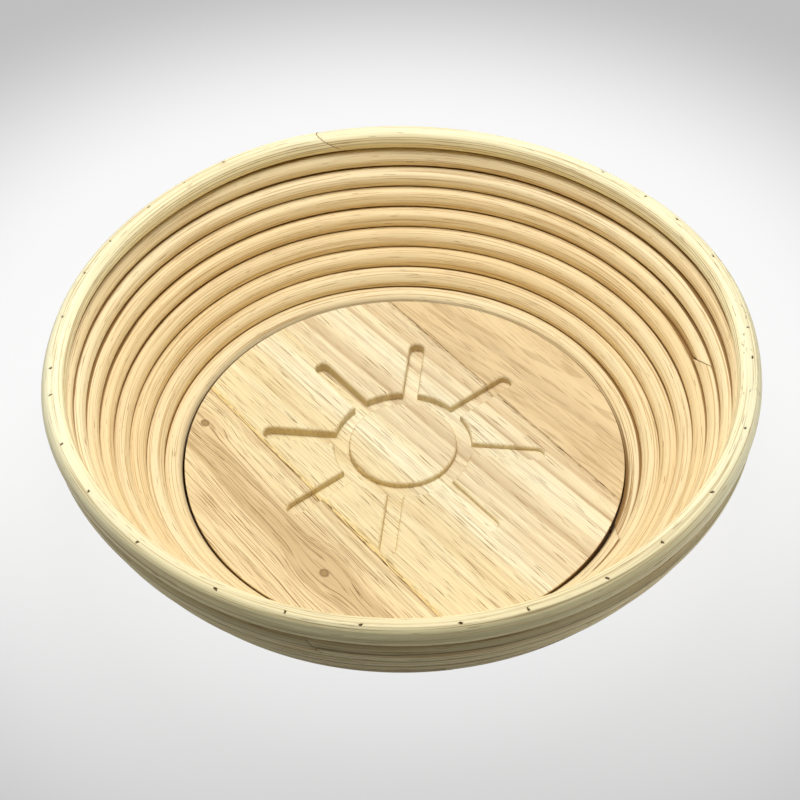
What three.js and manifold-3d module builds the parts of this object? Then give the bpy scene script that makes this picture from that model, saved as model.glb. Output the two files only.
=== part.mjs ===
// Round bread proofing basket: bent cane hoops nailed course on course round a board of glued staves,
// with a sun milled into the board. Millimetres, +Z up, the underside of the board at Z = 0.
import * as THREE from 'three';
import { mergeVertices } from 'three/addons/utils/BufferGeometryUtils.js';
import Module from 'manifold-3d';

const wasm = await Module();
wasm.setup();

// Cane hoops
const caneDiameter = 8.1;
const rimDiameter = 8.6;
const courseGap = 0.3; // clearance between one hoop and the next
const wallCourses = 8; // hoops below the rim
const lowestSlope = 42; // degrees above level, from the lowest hoop to the next
const slopeStep = 4.6; // degrees by which each course stands steeper than the one below it
const rimSlope = 86; // degrees above level, from the top course to the rim
const hoopSteps = 60; // straight stretches in one hoop
const caneSides = 8; // flats round a cane

// Scarf joints: the slanted cuts where the two ends of a hoop meet. Azimuths are degrees from +X.
const wallScarfRun = -13; // length along the cane that a cut takes to cross it, minus for a cut leaning back
const rimScarfRun = 11.7;
const scarfGap = 1; // opening of a joint, measured along the cane
const scarfSamples = 40; // points on each cut when its opening is measured
const wallScarfAzimuths = [-26, -93, -68, -114, -82, 8.2, -60, -101]; // lowest hoop first
const rimScarfAzimuth = 103.5;

// Board
const boardRadius = 82.4;
const boardThickness = 10;
const boardFacets = 96;
const boardSideGap = 0.9; // mean gap from the board's edge to the lowest hoop
const boardSeatGap = 0.3; // the gap on +X, where the board lies against the hoop
const boardAboveHoop = 2.4; // height of the board's top face over the lowest hoop's centre
const grainTurn = -51.4; // degrees from +X to the way the staves run
const glueLines = [-38.4, 4, 46.5]; // distances of the glue lines from the board's centre, across the grain
const glueThickness = 0.2;

// Sun milled into the top of the board with one round cutter
const sunShiftX = -0.6; // from the board's centre to the sun's
const sunShiftY = 4.5;
const sunTurn = -6.4; // degrees from +X to the first ray
const sunRays = 8;
const sunDepth = 3.3; // at the middle of the sun
const sunTilt = 2; // degrees by which the milled floor climbs along the grain
const cutterDiameter = 6;
const sunFaceRadius = 20; // the plain round face left standing in the middle
const rayReach = 53.8; // from the sun's centre to the far end of a ray
const ringArcSteps = 20; // straight stretches in half of the ring
const rayArcSteps = 4; // straight stretches in half of a ray's round end
const cutterRise = 3; // how far the cutting solids stand over the board, before they are tilted

// Wire nails, one size throughout
const nailDiameter = 1.2;
const nailLength = 14;
const nailPointLength = 1.8;
const nailHeadDiameter = 2.2;
const nailHeadHeight = 0.6;
const nailSunk = 0.4; // depth of a nail's head below the skin of the cane
const nailClearance = 0.3;
const nailPocketRise = 1.2; // how far the pocket over a head reaches, to break the skin of the cane
const nailSides = 6;
const rimNailAzimuths = [
  -174, -168, -157, -146, -133, -118, -107, -96, -82, -72, -59, -48, -35,
  -20, -4, 3, 21, 32, 40, 50, 125, 134, 143, 154, 163, 174,
];
const rimNailSlope = 78; // degrees above level: the rim's nails lean a little outwards
const boardNails = 8;
const boardNailDip = 15; // degrees below level, from the lowest hoop into the board's edge

const radians = THREE.MathUtils.degToRad;
const fullTurn = 2 * Math.PI;

function finish(color, roughness, metalness) {
  return new THREE.MeshStandardMaterial({ color, roughness, metalness, flatShading: true });
}

const wallCane = finish(0xe6c796, 0.62, 0);
const rimCane = finish(0xeedfb8, 0.58, 0);
const paleWood = finish(0xe2c796, 0.66, 0);
const knottyWood = finish(0xcfae7c, 0.68, 0);
const nailSteel = finish(0x55483a, 0.55, 0.8);

// A closed geometry as a solid that can be joined and cut
function solidOf(geometry) {
  const bare = geometry.clone();
  bare.deleteAttribute('normal');
  bare.deleteAttribute('uv');
  const merged = mergeVertices(bare, 1e-4);
  return new wasm.Manifold(new wasm.Mesh({
    numProp: 3,
    vertProperties: merged.getAttribute('position').array,
    triVerts: new Uint32Array(merged.index.array),
  }));
}

function geometryOf(solid) {
  const mesh = solid.getMesh();
  const geometry = new THREE.BufferGeometry();
  geometry.setAttribute('position', new THREE.BufferAttribute(mesh.vertProperties, 3));
  geometry.setIndex(new THREE.BufferAttribute(mesh.triVerts, 1));
  geometry.computeVertexNormals();
  return geometry;
}

function namedMesh(name, geometry, material) {
  const mesh = new THREE.Mesh(geometry, material);
  mesh.name = name;
  return mesh;
}

// Places of the hoops. Each stands on the one below, along a line that grows steeper course by course.
const lowestHoop = {
  name: 'wall_hoop_1',
  caneRadius: caneDiameter / 2,
  radius: boardRadius + boardSideGap + caneDiameter / 2,
  height: boardThickness - boardAboveHoop,
  slope: radians(lowestSlope),
  scarfRun: wallScarfRun,
  scarfAzimuth: radians(wallScarfAzimuths[0]),
  material: wallCane,
};

function hoopOn(below, slope, own) {
  const rise = below.caneRadius + courseGap + own.caneRadius;
  return {
    ...own,
    slope,
    radius: below.radius + rise * Math.cos(slope),
    height: below.height + rise * Math.sin(slope),
  };
}

const wallHoops = [lowestHoop];
for (let course = 1; course < wallCourses; course += 1) {
  const slope = radians(lowestSlope + slopeStep * (course - 1));
  wallHoops.push(hoopOn(wallHoops[course - 1], slope, {
    name: `wall_hoop_${course + 1}`,
    caneRadius: caneDiameter / 2,
    scarfRun: wallScarfRun,
    scarfAzimuth: radians(wallScarfAzimuths[course % wallScarfAzimuths.length]),
    material: wallCane,
  }));
}
const topHoop = wallHoops[wallHoops.length - 1];
const rimHoop = hoopOn(topHoop, radians(rimSlope), {
  name: 'rim_hoop',
  caneRadius: rimDiameter / 2,
  scarfRun: rimScarfRun,
  scarfAzimuth: radians(rimScarfAzimuth),
  material: rimCane,
});
const hoops = [...wallHoops, rimHoop];

// A point on a cane's skin, in the hoop's own level frame. Side 0 faces up the slope of the wall,
// and the section is slanted so that both ends follow the scarf cut.
function canePoint(hoop, side, share) {
  const turn = fullTurn * side / caneSides;
  const upSlope = hoop.caneRadius * Math.cos(turn);
  const outward = hoop.caneRadius * Math.sin(turn);
  const radius = hoop.radius + upSlope * Math.cos(hoop.slope) + outward * Math.sin(hoop.slope);
  const height = upSlope * Math.sin(hoop.slope) - outward * Math.cos(hoop.slope);
  const lean = hoop.scarfRun * upSlope / (2 * hoop.caneRadius);
  const start = hoop.scarfAzimuth + (lean + scarfGap / 2) / hoop.radius;
  const sweep = fullTurn - scarfGap / hoop.radius;
  const azimuth = start + sweep * share;
  return new THREE.Vector3(radius * Math.cos(azimuth), radius * Math.sin(azimuth), height);
}

function hoopGeometry(hoop) {
  const points = [];
  const triangles = [];
  for (let step = 0; step <= hoopSteps; step += 1) {
    for (let side = 0; side < caneSides; side += 1) {
      points.push(canePoint(hoop, side, step / hoopSteps));
    }
  }
  for (let step = 0; step < hoopSteps; step += 1) {
    for (let side = 0; side < caneSides; side += 1) {
      const near = step * caneSides + side;
      const beside = step * caneSides + (side + 1) % caneSides;
      triangles.push(near, beside, near + caneSides);
      triangles.push(beside, beside + caneSides, near + caneSides);
    }
  }
  const last = hoopSteps * caneSides;
  for (let side = 1; side < caneSides - 1; side += 1) {
    triangles.push(0, side + 1, side);
    triangles.push(last, last + side, last + side + 1);
  }
  return new THREE.BufferGeometry().setFromPoints(points).setIndex(triangles);
}

// Least opening of a hoop's scarf joint, on points across the middle of both cuts
function scarfOpening(hoop) {
  const cut = (share) => {
    const bottom = canePoint(hoop, caneSides / 2, share);
    const top = canePoint(hoop, 0, share);
    return Array.from({ length: scarfSamples + 1 }, (_, i) => bottom.clone().lerp(top, i / scarfSamples));
  };
  const far = cut(1);
  return Math.min(...cut(0).flatMap((a) => far.map((b) => a.distanceTo(b))));
}

// A nail stands on its point along +Z. Grown by the clearance and drawn out past the head, it is its hole.
const nailRadius = nailDiameter / 2;
const nailHeadRadius = nailHeadDiameter / 2;

function nailProfile(grown, rise) {
  const headFoot = nailLength - nailHeadHeight;
  return [
    new THREE.Vector2(0, -grown),
    new THREE.Vector2(nailRadius + grown, nailPointLength - grown),
    new THREE.Vector2(nailRadius + grown, headFoot - grown),
    new THREE.Vector2(nailHeadRadius + grown, headFoot - grown),
    new THREE.Vector2(nailHeadRadius + grown, nailLength + rise),
    new THREE.Vector2(0, nailLength + rise),
  ];
}

function nailGeometry(grown, rise) {
  const lathe = new THREE.LatheGeometry(nailProfile(grown, rise), nailSides);
  return lathe.rotateX(Math.PI / 2);
}

const nailHole = nailGeometry(nailClearance, nailPocketRise);

// A nail driven through a hoop's centre at an azimuth. The drive is in the plane of the hoop's section.
function drivenNail(name, hoop, azimuth, driveOut, driveUp) {
  const drive = new THREE.Vector3(
    driveOut * Math.cos(azimuth),
    driveOut * Math.sin(azimuth),
    driveUp,
  );
  const head = new THREE.Vector3(
    hoop.radius * Math.cos(azimuth),
    hoop.radius * Math.sin(azimuth),
    hoop.height,
  );
  head.addScaledVector(drive, nailSunk - hoop.caneRadius);
  const nail = namedMesh(name, nailGeometry(0, 0), nailSteel);
  nail.position.copy(head).addScaledVector(drive, nailLength);
  nail.quaternion.setFromUnitVectors(new THREE.Vector3(0, 0, 1), drive.negate());
  nail.updateMatrix();
  return nail;
}

const twoDigits = (number) => String(number).padStart(2, '0');

const rimNails = rimNailAzimuths.map((azimuth, i) => drivenNail(
  `rim_nail_${twoDigits(i + 1)}`,
  rimHoop,
  radians(azimuth),
  -Math.cos(radians(rimNailSlope)),
  -Math.sin(radians(rimNailSlope)),
));

// Every wall hoop but the lowest is nailed down at its own scarf joint.
const scarfNails = wallHoops.slice(1).map((hoop, i) => drivenNail(
  `scarf_nail_${i + 2}`,
  hoop,
  hoop.scarfAzimuth,
  -Math.cos(hoop.slope),
  -Math.sin(hoop.slope),
));

// The lowest hoop is nailed into the board's edge, the first nail at its scarf joint.
const edgeNails = Array.from({ length: boardNails }, (_, i) => drivenNail(
  `board_nail_${i + 1}`,
  lowestHoop,
  lowestHoop.scarfAzimuth + fullTurn * i / boardNails,
  -Math.cos(radians(boardNailDip)),
  -Math.sin(radians(boardNailDip)),
));

// Cuts the nails' holes out of a solid that is modelled in its own frame.
function drilled(solid, nails, frame) {
  const intoFrame = frame.clone().invert();
  return nails.reduce((rest, nail) => {
    const hole = nailHole.clone().applyMatrix4(nail.matrix).applyMatrix4(intoFrame);
    return rest.subtract(solidOf(hole));
  }, solid);
}

// Nails that pass through or end in a hoop: its own, and those of the hoop above
function nailsIn(hoop) {
  const course = hoops.indexOf(hoop);
  const own = hoop === lowestHoop ? edgeNails : scarfNails[course - 1];
  const above = hoop === topHoop ? rimNails : scarfNails[course];
  return hoop === rimHoop ? rimNails : [own, above].flat();
}

const wall = new THREE.Group();
hoops.forEach((hoop) => {
  const frame = new THREE.Matrix4().makeTranslation(0, 0, hoop.height);
  const cane = drilled(solidOf(hoopGeometry(hoop)), nailsIn(hoop), frame);
  const mesh = namedMesh(hoop.name, geometryOf(cane), hoop.material);
  mesh.position.z = hoop.height;
  wall.add(mesh);
});

// The board's frame has its centre on the underside, with X along the grain and Y across it.
const board = new THREE.Group();
board.position.x = boardSideGap - boardSeatGap;
board.rotation.z = radians(grainTurn);
board.updateMatrix();

function boardBlank() {
  const round = new THREE.CylinderGeometry(boardRadius, boardRadius, boardThickness, boardFacets);
  return solidOf(round.rotateX(Math.PI / 2).translate(0, 0, boardThickness / 2));
}

// A cut of the sun, drawn flat, as a solid that stands on its own floor
function sunCut(shape, curveSegments) {
  return new THREE.ExtrudeGeometry(shape, {
    depth: sunDepth + cutterRise,
    bevelEnabled: false,
    curveSegments,
  });
}

function ringShape() {
  const ring = new THREE.Shape();
  ring.absarc(0, 0, sunFaceRadius + cutterDiameter, 0, fullTurn, false);
  const face = new THREE.Path();
  face.absarc(0, 0, sunFaceRadius, 0, fullTurn, true);
  ring.holes.push(face);
  return ring;
}

// A ray runs out along +X from the middle of the ring.
function rayShape() {
  const half = cutterDiameter / 2;
  const near = sunFaceRadius + half;
  const far = rayReach - half;
  const ray = new THREE.Shape();
  ray.moveTo(near, -half);
  ray.lineTo(far, -half);
  ray.absarc(far, 0, half, -Math.PI / 2, Math.PI / 2, false);
  ray.lineTo(near, half);
  ray.closePath();
  return ray;
}

function sunCutter() {
  const turned = new THREE.Matrix4().makeRotationZ(radians(sunTurn - grainTurn));
  const place = new THREE.Matrix4().makeRotationY(radians(-sunTilt)).multiply(turned);
  const centre = new THREE.Vector3(sunShiftX, sunShiftY, boardThickness - sunDepth).applyAxisAngle(
    new THREE.Vector3(0, 0, 1),
    radians(-grainTurn),
  );
  place.setPosition(centre);
  const ringSolid = solidOf(sunCut(ringShape(), ringArcSteps).applyMatrix4(place));
  return Array.from({ length: sunRays }).reduce((sun, _, i) => {
    const ray = sunCut(rayShape(), rayArcSteps).rotateZ(fullTurn * i / sunRays).applyMatrix4(place);
    return sun.add(solidOf(ray));
  }, ringSolid);
}

// A stave is the slice of the milled board between two glue lines.
function staveSlice(low, high) {
  const width = high - low;
  const slice = new THREE.BoxGeometry(3 * boardRadius, width, 3 * boardThickness);
  return solidOf(slice.translate(0, (low + high) / 2, 0));
}

const milledBoard = boardBlank().subtract(sunCutter());
const staveEdges = [-2 * boardRadius, ...glueLines, 2 * boardRadius];
for (let i = 0; i + 1 < staveEdges.length; i += 1) {
  const slice = staveSlice(staveEdges[i] + glueThickness / 2, staveEdges[i + 1] - glueThickness / 2);
  const stave = drilled(milledBoard.intersect(slice), edgeNails, board.matrix);
  board.add(namedMesh(`base_stave_${i + 1}`, geometryOf(stave), i === 0 ? knottyWood : paleWood));
}

const nails = new THREE.Group();
nails.add(...rimNails, ...scarfNails, ...edgeNails);

const basket = new THREE.Group();
basket.add(wall, board, nails);

const openings = hoops.map(scarfOpening);
console.log(`least opening of a hoop to its own other end: ${Math.min(...openings).toFixed(2)} mm`);
console.log(`rim ${(2 * (rimHoop.radius + rimHoop.caneRadius)).toFixed(1)} mm across, `
  + `${(rimHoop.height + rimHoop.caneRadius).toFixed(1)} mm high`);

export default basket;
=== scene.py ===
# %% [markdown]
# # A bread proofing basket
# Dough rises in this basket before it is baked. Nine hoops of bent cane are nailed one on the other round a
# wooden board, and a sun is milled into the board so that it prints itself on the loaf. The cane is bare, because
# it has to breathe and to hold flour. The frame gives the solids at their real size, in metres. This lesson
# dresses them: each plain solid is replaced by a finer piece of the same size, in the same place.

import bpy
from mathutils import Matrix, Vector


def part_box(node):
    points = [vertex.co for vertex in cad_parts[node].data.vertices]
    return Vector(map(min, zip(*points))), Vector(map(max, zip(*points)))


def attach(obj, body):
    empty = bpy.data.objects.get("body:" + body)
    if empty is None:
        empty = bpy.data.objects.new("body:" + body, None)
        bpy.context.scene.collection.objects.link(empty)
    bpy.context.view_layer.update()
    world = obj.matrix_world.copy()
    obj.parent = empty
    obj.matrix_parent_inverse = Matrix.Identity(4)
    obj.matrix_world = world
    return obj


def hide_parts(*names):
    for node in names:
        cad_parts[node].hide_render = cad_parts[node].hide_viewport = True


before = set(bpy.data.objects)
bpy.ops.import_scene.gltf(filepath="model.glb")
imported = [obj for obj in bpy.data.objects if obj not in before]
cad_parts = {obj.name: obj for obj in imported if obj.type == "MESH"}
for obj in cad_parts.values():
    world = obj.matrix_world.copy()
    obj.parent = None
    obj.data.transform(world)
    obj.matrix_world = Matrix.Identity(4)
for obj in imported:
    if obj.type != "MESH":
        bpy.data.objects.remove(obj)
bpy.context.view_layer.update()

# %% [markdown]
# ## The camera
# The camera comes first, because every later choice is judged through it. It stands in front of the basket and
# looks down at about 45 degrees. The lens is a long one, so the far rim is only a little smaller than the near
# rim. Its place could be found by eye; here it was worked out from the ellipses that the hoops make in the view.

# %% Camera
import math

import bpy
from mathutils import Matrix, Vector

MM = 0.001
EYE = Vector((0.0, -404.9, 467.3)) * MM
AIM = Vector((-1.0, -12.8, 51.7)) * MM
LENS = 73.1
SENSOR = 36.0
CAMERA_ROLL = math.radians(-0.27)

scene = bpy.context.scene
lens = bpy.data.cameras.new("camera")
lens.lens = LENS
lens.sensor_width = SENSOR
camera = bpy.data.objects.new("camera", lens)
look = (AIM - EYE).to_track_quat("-Z", "Y").to_matrix().to_4x4()
camera.matrix_world = Matrix.Translation(EYE) @ look @ Matrix.Rotation(CAMERA_ROLL, 4, "Z")
scene.collection.objects.link(camera)
scene.camera = camera
print("camera: ", round((AIM - EYE).length, 3), "m from its aim")

# %% [markdown]
# ## Where the hoops are
# A hoop is a cane bent into a ring. Its place is known from two numbers, the radius of the ring and its height,
# and both can be read from the solid in the frame: the cane's section is even about its centre line, so the
# centre line lies half way between the nearest and the farthest point. The slope is the direction in which a
# hoop stands on the one below it. Reading the frame is safer than writing the numbers a second time. Hoops that
# are nailed by hand aren't quite on one axis, so each also has a shift to the back and a tuck inwards.

# %% Places of the hoops
WALL_COURSES = 8
STAVES = 4
CANE = 4.05 * MM
RIM_CANE = 4.3 * MM
WALL_SCARFS = (-26, -93, -68, -114, -82, 8.2, -60, -101)
RIM_SCARF = 103.5
WALL_SCARF_RUN = -13.0 * MM
RIM_SCARF_RUN = 11.7 * MM
HOOP_SHIFTS = (0.7, 0.65, 0.5, 0.2, 0.1, 0.1, 0.1, 0.0, 0.0)
HOOP_TUCKS = (0.6, 0.5, 0.4, 0.27, 0.2, 0.17, 0.05, 0.0, 0.0)

stave_names = [f"base_stave_{number}" for number in range(1, STAVES + 1)]
stave_boxes = [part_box(name) for name in stave_names]
board_low = Vector([min(low[axis] for low, high in stave_boxes) for axis in range(3)])
board_high = Vector([max(high[axis] for low, high in stave_boxes) for axis in range(3)])
board_radius = (board_high.x - board_low.x) / 2
board_top = board_high.z
board_centre = Vector(((board_low.x + board_high.x) / 2, (board_low.y + board_high.y) / 2, board_low.z))


def hoop_place(name):
    corners = [v.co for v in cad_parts[name].data.vertices]
    reach = [math.hypot(c.x, c.y) for c in corners]
    heights = [c.z for c in corners]
    return (min(reach) + max(reach)) / 2, (min(heights) + max(heights)) / 2


wall_names = [f"wall_hoop_{course}" for course in range(1, WALL_COURSES + 1)]
hoop_names = [*wall_names, "rim_hoop"]
places = [hoop_place(name) for name in hoop_names]
steps_up = [(high[0] - low[0], high[1] - low[1]) for low, high in zip(places, places[1:])]
slopes = [math.atan2(rise, reach) for reach, rise in steps_up]
slopes = [slopes[0], *slopes]
hoops = {}
for course, (name, (radius, height)) in enumerate(zip(hoop_names, places)):
    is_rim = name == "rim_hoop"
    hoops[name] = {
        "name": name,
        "course": course,
        "radius": radius,
        "height": height,
        "slope": slopes[course],
        "above": None if is_rim else slopes[course] - slopes[course + 1],
        "cane": RIM_CANE if is_rim else CANE,
        "scarf": math.radians(RIM_SCARF if is_rim else WALL_SCARFS[course]),
        "run": RIM_SCARF_RUN if is_rim else WALL_SCARF_RUN,
        "shift": HOOP_SHIFTS[course] * MM,
        "tuck": HOOP_TUCKS[course] * MM,
    }
    print(f"{name}: radius {radius / MM:.1f} mm, height {height / MM:.1f} mm")

# %% [markdown]
# ## The shape of a bent cane
# Cane is a plant, so no two stretches of it are alike. The machine that peels it leaves long flats along it, its
# thickness changes a little, and it wanders where it was bent. A plain ring with a round section would look like
# plastic tube. So the distance from the centre line to the skin is worked out for each point: a round section,
# less the flats, plus a little where the next hoop presses on it. Slow noise along the cane moves all of these,
# and each use of it reads a lane of its own, so that they don't move together.

# %% Skin of a cane
from mathutils import noise

TURN = 2 * math.pi
LANE_STEP = 3.7
COURSE_STEP = 11.3
EDGE_ON = 0.1


def slow_noise(along, pace, lane, course):
    return noise.noise(Vector((along * pace, LANE_STEP * lane, COURSE_STEP * course)))


def planed(skin, turn, facing, flat_skin):
    """The skin's distance where a flat, seen from the centre line at one angle, may have cut into it."""
    lean = math.cos(turn - facing)
    return min(skin, flat_skin / lean) if lean > EDGE_ON else skin


def touch(hoop, turn):
    """1 where a cane lies on the next one, above or below, and falling round its section."""
    over = -1.0 if hoop["above"] is None else math.cos(turn - hoop["above"])
    under = -1.0 if hoop["course"] == 0 else -math.cos(turn)
    return max(over, under, 0.0)


def smooth_step(value, low, high):
    share = min(max((value - low) / (high - low), 0.0), 1.0)
    return share * share * (3 - 2 * share)


print("noise: lanes", LANE_STEP, "apart, courses", COURSE_STEP, "apart")

# %% [markdown]
# ## What the maker did to the hoops
# The two ends of each hoop meet in a scarf, a slanted cut. Near it the cane is stiff and doesn't follow the ring
# quite, and here and there a knife took a slice off so that the end would lie down. On the sixth course a shaved
# facet shows below the joint, at the right of the bowl, and the ends of the lowest course roll outwards under the
# second one, which opens a dark gap beside the board. The rim's inner edge was planed all round, and the rim and
# the course below it strayed from the circle while they were nailed down. These marks tell hand work from a
# moulding, so they are in the mesh and not only in the colour.

# %% Shaved and sprung stretches
RIM_PLANED = ((-62, 0.3), (-84, 0.5), (-106, 0.4), (-130, 0.35))
RIM_FACETS = tuple((math.radians(turn), depth * MM) for turn, depth in RIM_PLANED)
RIM_FACET_SWING = 0.08 * MM
RIM_FACET_PACE = 22.0
RIM_FACET_LANE = 40
SHAVES = {"wall_hoop_6": (math.radians(233), 1.3 * MM, 50 * MM)}
SHAVE_RUN_OUT = 24 * MM
SHAVE_START = 0.55
ROLLS = {"wall_hoop_1": ((math.radians(8), 70 * MM), (math.radians(12), 80 * MM))}
FRONT = -90
STRAYS = {
    "rim_hoop": ((-90, 0.0), (-38, -0.6), (-8, -0.1), (20, 1.1), (50, 0.0), (80, 0.2),
                 (112, 1.1), (145, -0.5), (172, 0.1), (198, 1.0), (225, 0.3), (270, 0.0)),
    "wall_hoop_8": ((-90, 0.0), (-12, 0.0), (20, 0.6), (50, 0.0), (80, 0.5), (110, 0.5), (150, 0.0),
                    (172, 0.0), (198, 0.6), (225, 0.0), (270, 0.0)),
}


def near_joint(along, length):
    """1 at the hoop's first end, fading to 0 at the given length from it."""
    return 1 - smooth_step(along, 0, length)


def shave_depth(name, along):
    facing, depth, length = SHAVES[name]
    cut_in = SHAVE_START + (1 - SHAVE_START) * smooth_step(along, 0, SHAVE_RUN_OUT)
    return depth * near_joint(along, length) * cut_in


def hoop_shaves(hoop, along):
    shaves = []
    if hoop["name"] == "rim_hoop":
        for facet, (facing, depth) in enumerate(RIM_FACETS):
            swing = slow_noise(along, RIM_FACET_PACE, RIM_FACET_LANE + facet, hoop["course"])
            shaves.append((facing, depth + RIM_FACET_SWING * swing))
    if hoop["name"] in SHAVES:
        shaves.append((SHAVES[hoop["name"]][0], shave_depth(hoop["name"], along)))
    return shaves


def hoop_roll(hoop, along):
    """The angle by which a sprung end rolls outwards round the hoop above it."""
    if hoop["name"] not in ROLLS:
        return 0.0
    (first, first_length), (last, last_length) = ROLLS[hoop["name"]]
    whole = TURN * hoop["radius"]
    return first * near_joint(along, first_length) + last * near_joint(whole - along, last_length)


def out_of_round(hoop, azimuth):
    """How far a hoop strays from its circle: it was bent by hand and nailed down where it lay."""
    turned = (math.degrees(azimuth) - FRONT) % 360 + FRONT
    strays = STRAYS.get(hoop["name"], ())
    for (low, near), (high, far) in zip(strays, strays[1:]):
        if low <= turned <= high:
            return (near + (far - near) * smooth_step(turned, low, high)) * MM
    return -hoop["tuck"]


print("shaved:", *SHAVES, "rolled:", *ROLLS, "out of round:", *STRAYS)

# %% [markdown]
# ## Where dirt gathers and shade is painted
# Flour and dust stay in the grooves between the courses, beside the board, at the sprung ends of the lowest hoop
# and on the shaved facet. These places also lie in shade, and a darkening of hidden corners would need extra rays,
# so the same value paints that shade into the colour: in the grooves, beside the board, under the second course
# near the lowest hoop's joint, at the sprung ends and on the facet. A noise in the material couldn't know these
# places. The places follow from the section and the joints, so each point of the mesh gets a value.

# %% Painted shade and dirt on a cane
# painted shade with dust: the grooves between the courses are darkened in the colour
INNER_GROOVE = (0.93, 0.985)
OUTER_GROOVE = (0.8, 0.92)
# painted shade: at the bowl's sides the dark groove band is widened, as shade where light is blocked
SIDE_SHADE = 0.115
SIDE_SHADE_POWER = 8
SIDE_SHADE_COURSES = (2.2, 4.6)
# painted shade with dust: near the lowest hoop's sprung ends the dark groove band is widened
END_SHADE_AND_DUST = 0.3
END_SHADE_AND_DUST_LENGTH = 60 * MM
START_SHADE_AND_DUST = 0.12
START_SHADE_AND_DUST_LENGTH = 150 * MM
# painted shade with stain: the lowest hoop is darkened near its first end, most where it lies low beside the board
START_SHADE_AND_STAIN = 0.3
LOW_SHADE_AND_STAIN = 0.95
LOW_SHADE_RISE = (board_top - 1.0 * MM, board_top + 2.2 * MM)
# painted shade: the lowest hoop's inner side below the board's top is darkened in the colour
BOARD_SIDE_SHADE = (board_top - 2.6 * MM, board_top - 0.4 * MM)
# painted shade: a dark band on the underside of the second course, near the lowest hoop's joint
JOINT_SHADE_TURNS = (math.radians(-92), math.radians(-84))
JOINT_SHADE_SPAN = tuple(math.radians(azimuth) for azimuth in (-46, -40, -33, -30))
# painted shade with dirt: the shaved facet is darkened in the colour, as it faces down into shade
FACET_SHADE_AND_DIRT = 0.5
FACET_SHADE_AND_DIRT_DEPTH = 0.3 * MM


def groove_shade_and_dust(hoop, turn, along, azimuth):
    """1 in the grooves between two courses, for dust and painted shade there; the band is wider at the bowl's
    sides and at the sprung ends.
    """
    low, high, wider = *OUTER_GROOVE, 0.0
    if math.sin(turn) < 0:
        low, high = INNER_GROOVE
        sides = math.cos(azimuth) ** SIDE_SHADE_POWER
        wider = SIDE_SHADE * sides * smooth_step(hoop["course"], *SIDE_SHADE_COURSES)
    if hoop["name"] in ROLLS:
        end = near_joint(TURN * hoop["radius"] - along, END_SHADE_AND_DUST_LENGTH)
        start = near_joint(along, START_SHADE_AND_DUST_LENGTH)
        wider = max(wider, END_SHADE_AND_DUST * end, START_SHADE_AND_DUST * start)
    return smooth_step(touch(hoop, turn), low - wider, high - wider)


# painted shade and dirt together, in one value for each point
def painted_shade_and_dirt(hoop, turn, along, azimuth, reach, rise):
    shade_and_dirt = [groove_shade_and_dust(hoop, turn, along, azimuth)]
    if hoop["course"] == 0 and reach < hoop["radius"]:
        shade_and_dirt.append(1 - smooth_step(rise, *BOARD_SIDE_SHADE))
    if hoop["name"] in ROLLS:
        low_side = LOW_SHADE_AND_STAIN * (1 - smooth_step(rise, *LOW_SHADE_RISE))
        shade_and_dirt.append(max(START_SHADE_AND_STAIN, low_side) * near_joint(along, START_SHADE_AND_DUST_LENGTH))
    if hoop["course"] == 1 and math.sin(turn) < 0:
        begin, full, fall, end = JOINT_SHADE_SPAN
        here = smooth_step(azimuth, begin, full) * (1 - smooth_step(azimuth, fall, end))
        shade_and_dirt.append(here * (1 - smooth_step(turn, *JOINT_SHADE_TURNS)))
    if hoop["name"] in SHAVES:
        facet = hoop["cane"] * math.cos(turn - SHAVES[hoop["name"]][0])
        bare = hoop["cane"] - shave_depth(hoop["name"], along)
        shade_and_dirt.append(FACET_SHADE_AND_DIRT * smooth_step(facet - bare, 0.0, FACET_SHADE_AND_DIRT_DEPTH))
    return max(shade_and_dirt)


print("grooves: from", INNER_GROOVE[0], "inside and", OUTER_GROOVE[0], "outside")

# %% [markdown]
# ## One place along a cane
# The size, the flats and the wandering are the same all round the section, so they are worked out once for each
# place along the cane and kept. The skin's point then follows from the place and the angle in the section.

# %% Point of the skin
import functools

FLATS = 7
FLAT_DEPTH = 0.24 * MM
FLAT_PACE = 14.0
FLAT_MEAN = 0.5
FLAT_SWING = 0.9
FLAT_SWAY = 0.5
FLAT_SWAY_PACE = FLAT_PACE / 6
SWELL = 0.02
SWELL_PACE = 9.0
WANDER = 0.16 * MM
WANDER_PACE = 7.0
PRESS = 0.36 * MM
PRESS_POWER = 28
SIZE_LANE, FLAT_LANE, SWAY_LANE, UP_LANE, OUT_LANE = 0, 1, 20, 50, 60
MICRON_DIGITS = 6


@functools.cache
def station(name, along):
    """What a cane is like at one place along it: its size, its flats, how far it wandered and rolled."""
    hoop = hoops[name]
    course, cane = hoop["course"], hoop["cane"]
    size = cane * (1 + SWELL * slow_noise(along, SWELL_PACE, SIZE_LANE, course))
    flats = []
    for flat in range(FLATS):
        sway = slow_noise(along, FLAT_SWAY_PACE, SWAY_LANE + flat, course)
        swing = slow_noise(along, FLAT_PACE, FLAT_LANE + flat, course)
        depth = FLAT_DEPTH * (FLAT_MEAN + FLAT_SWING * swing)
        flats.append((TURN * flat / FLATS + FLAT_SWAY * sway, cane - max(depth, 0.0)))
    flats += [(facing, cane - depth) for facing, depth in hoop_shaves(hoop, along)]
    wander_up = WANDER * slow_noise(along, WANDER_PACE, UP_LANE, course)
    wander_out = WANDER * slow_noise(along, WANDER_PACE, OUT_LANE, course)
    return size, flats, wander_up, wander_out, hoop_roll(hoop, along)


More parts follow.
